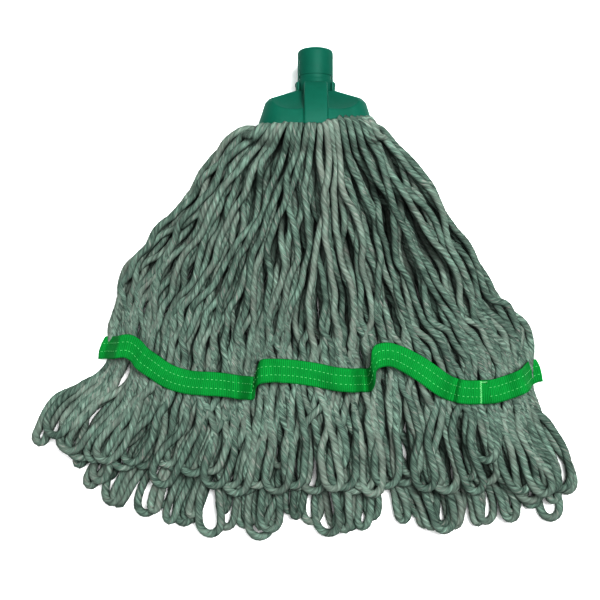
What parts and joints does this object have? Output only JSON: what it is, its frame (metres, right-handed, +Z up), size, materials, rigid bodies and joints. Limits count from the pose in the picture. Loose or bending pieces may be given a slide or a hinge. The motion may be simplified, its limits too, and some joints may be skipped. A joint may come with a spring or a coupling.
{
  "type": "string mop head",
  "caption": "Looped-yarn string mop head: green plastic socket with side release tabs, folded grey-green yarn fanned out flat, and a stitched green tail band near the loop ends.",
  "frame": {"origin": "on the table that the mop head lies on, under the middle of its overall box", "axes": "+X across the fan of yarn, +Y along the socket's axis from the loop ends to the socket's mouth, +Z up from the table, out of the front face of the head"},
  "size_m": [0.448, 0.404, 0.061],
  "materials": {
    "shell_plastic": "moulded polypropylene, deep teal green, satin",
    "sleeve_plastic": "moulded nylon, deep teal green, satin",
    "yarn": "plied cotton and synthetic blend yarn, heathered sage grey-green",
    "tape": "woven ribbed polyester tape, bright green",
    "thread": "spun polyester sewing thread, pale green",
    "bar_steel": "zinc plated"
  },
  "bodies": {
    "root": {"head_shell": "shell_plastic", "handle_sleeve": "sleeve_plastic", "yarn_bar": "bar_steel", "retaining_insert": "shell_plastic", "yarn_head": "yarn", "binding_cord": "thread", "upper_hank_1": "yarn", "upper_hank_2": "yarn", "upper_hank_3": "yarn", "upper_hank_4": "yarn", "upper_hank_5": "yarn", "upper_hank_6": "yarn", "lower_hank_1": "yarn", "lower_hank_2": "yarn", "lower_hank_3": "yarn", "lower_hank_4": "yarn", "lower_hank_5": "yarn", "lower_hank_6": "yarn", "tail_band": "tape", "stitch_row_upper": "thread", "stitch_row_lower": "thread", "bar_tack": "thread"},
    "tab_left": {"release_tab_left": "sleeve_plastic"},
    "tab_right": {"release_tab_right": "sleeve_plastic"}
  },
  "joints": [
    {"name": "tab_left_squeeze", "type": "hinge", "parent": "root", "child": "tab_left", "pos_m": [-0.01395, 0.1947, 0.0305], "axis": [0, 0, 1], "range_deg": [0, 2.2], "stiffness_Nm_per_rad": 0.8},
    {"name": "tab_right_squeeze", "type": "hinge", "parent": "root", "child": "tab_right", "pos_m": [0.01395, 0.1947, 0.0305], "axis": [0, 0, -1], "range_deg": [0, 2.2], "stiffness_Nm_per_rad": 0.8}
  ]
}
